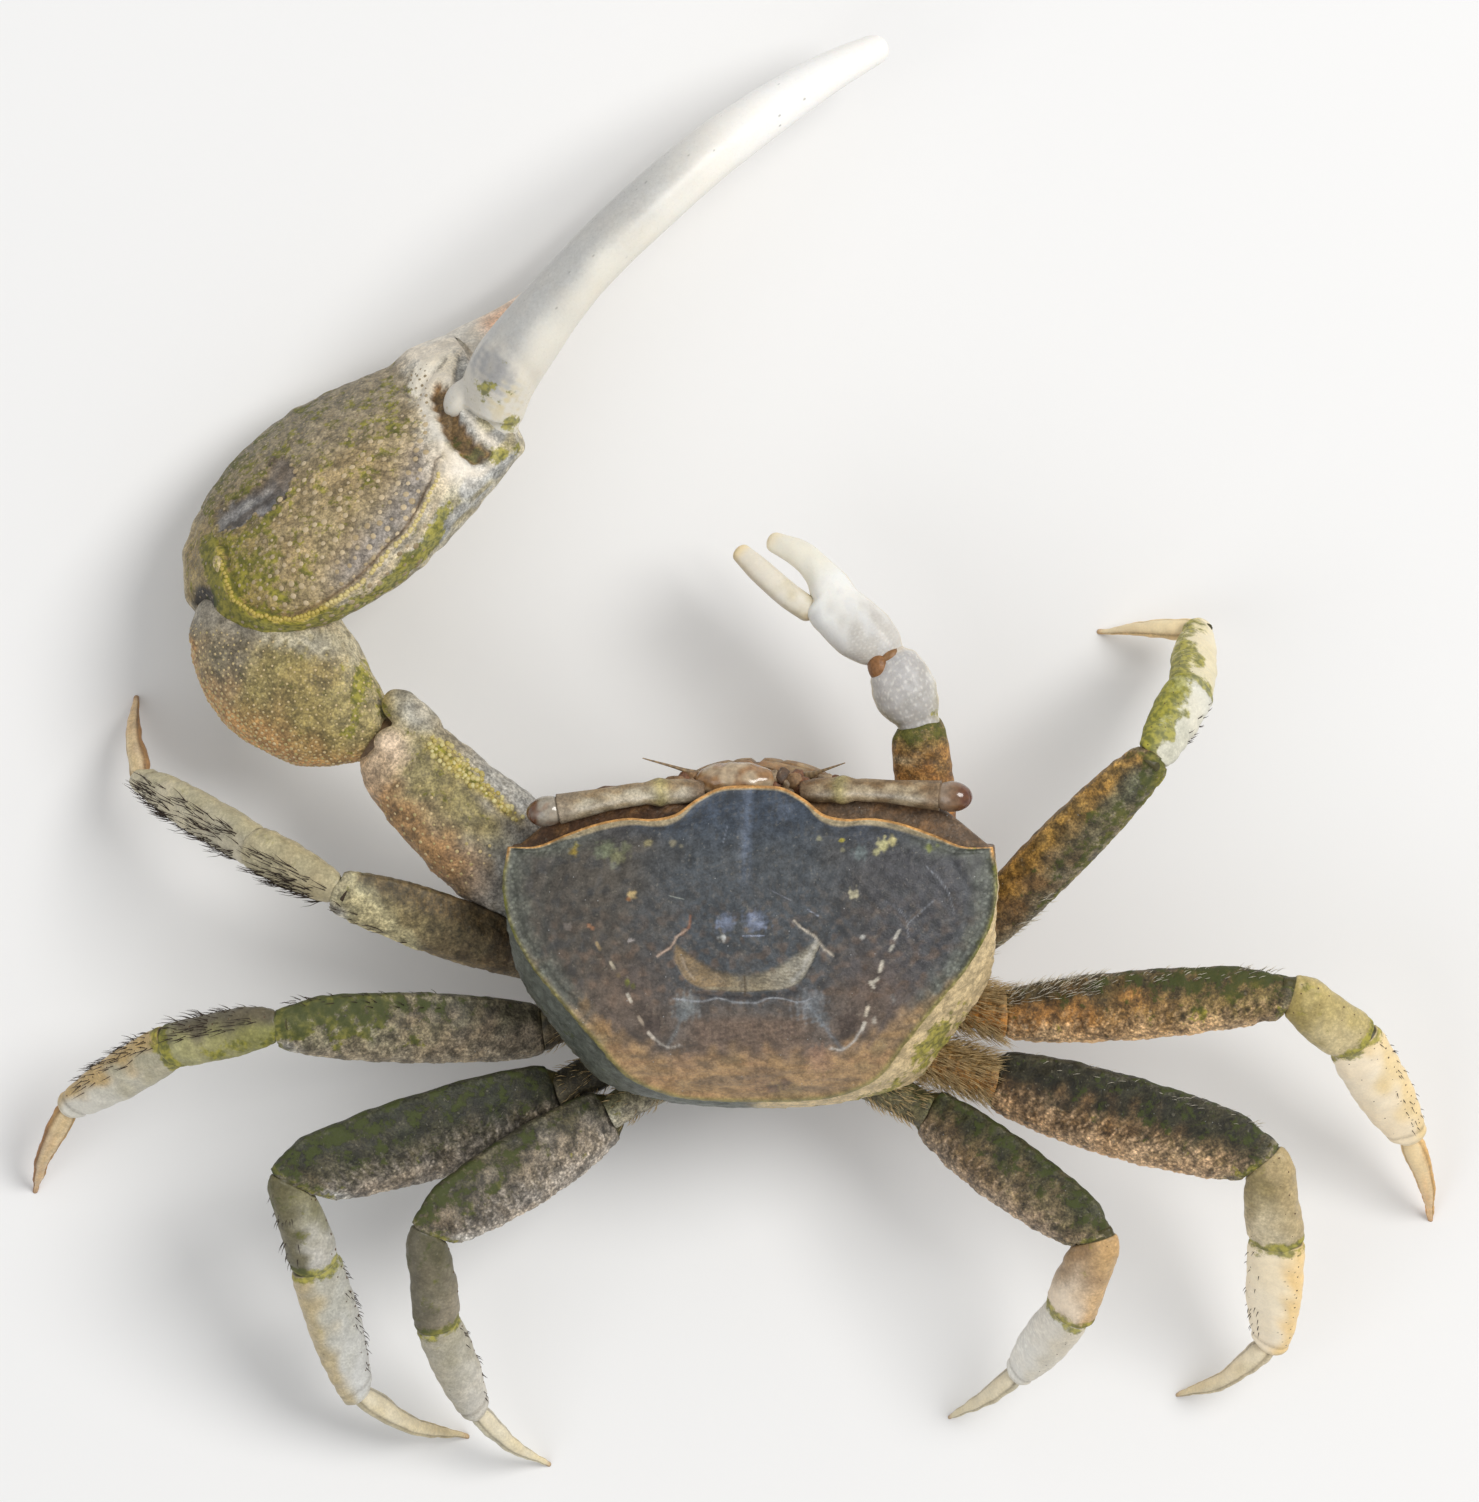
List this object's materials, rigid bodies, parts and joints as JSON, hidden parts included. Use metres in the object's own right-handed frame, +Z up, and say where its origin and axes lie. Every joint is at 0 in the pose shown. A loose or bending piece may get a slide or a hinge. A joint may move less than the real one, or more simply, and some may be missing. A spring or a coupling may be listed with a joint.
{
  "type": "still model of a male fiddler crab",
  "caption": "Still life-size model of a male fiddler crab, standing, with an oversized claw held forward across its front, a tiny second claw, stalked eyes and jointed legs.",
  "frame": {"origin": "on the floor, under the middle of the model's box seen from above", "axes": "+Z up, -Y the way the crab faces, +X the crab's left, the side of the large claw"},
  "size_m": [0.0886, 0.0901, 0.021],
  "materials": {
    "shell": "fine-grained dark shell, satin",
    "leg": "mottled leg shell, satin",
    "claw": "grained claw shell, satin",
    "ivory": "smooth pale claw shell, satin",
    "belly": "pale shell and skin of the underside, satin",
    "eye": "dark eye, glossy"
  },
  "bodies": {
    "root": {"abdomen": "belly", "antenna_left": "belly", "antenna_right": "belly", "big_claw_base": "claw", "big_claw_carpus": "claw", "big_claw_finger": "ivory", "big_claw_merus": "claw", "big_claw_palm": "claw", "carapace": "shell", "eye_left": "eye", "eye_right": "eye", "eyestalk_left": "belly", "eyestalk_right": "belly", "leg_left_1_base": "leg", "leg_left_1_carpus": "leg", "leg_left_1_dactyl": "leg", "leg_left_1_merus": "leg", "leg_left_1_propodus": "leg", "leg_left_2_base": "leg", "leg_left_2_carpus": "leg", "leg_left_2_dactyl": "leg", "leg_left_2_merus": "leg", "leg_left_2_propodus": "leg", "leg_left_3_base": "leg", "leg_left_3_carpus": "leg", "leg_left_3_dactyl": "leg", "leg_left_3_merus": "leg", "leg_left_3_propodus": "leg", "leg_left_4_base": "leg", "leg_left_4_carpus": "leg", "leg_left_4_dactyl": "leg", "leg_left_4_merus": "leg", "leg_left_4_propodus": "leg", "leg_right_1_base": "leg", "leg_right_1_carpus": "leg", "leg_right_1_dactyl": "leg", "leg_right_1_merus": "leg", "leg_right_1_propodus": "leg", "leg_right_2_base": "leg", "leg_right_2_carpus": "leg", "leg_right_2_dactyl": "leg", "leg_right_2_merus": "leg", "leg_right_2_propodus": "leg", "leg_right_3_base": "leg", "leg_right_3_carpus": "leg", "leg_right_3_dactyl": "leg", "leg_right_3_merus": "leg", "leg_right_3_propodus": "leg", "leg_right_4_base": "leg", "leg_right_4_carpus": "leg", "leg_right_4_dactyl": "leg", "leg_right_4_merus": "leg", "leg_right_4_propodus": "leg", "mouthparts": "belly", "small_claw_base": "ivory", "small_claw_carpus": "ivory", "small_claw_finger": "ivory", "small_claw_merus": "ivory", "small_claw_palm": "ivory", "thorax": "belly"}
  },
  "joints": []
}
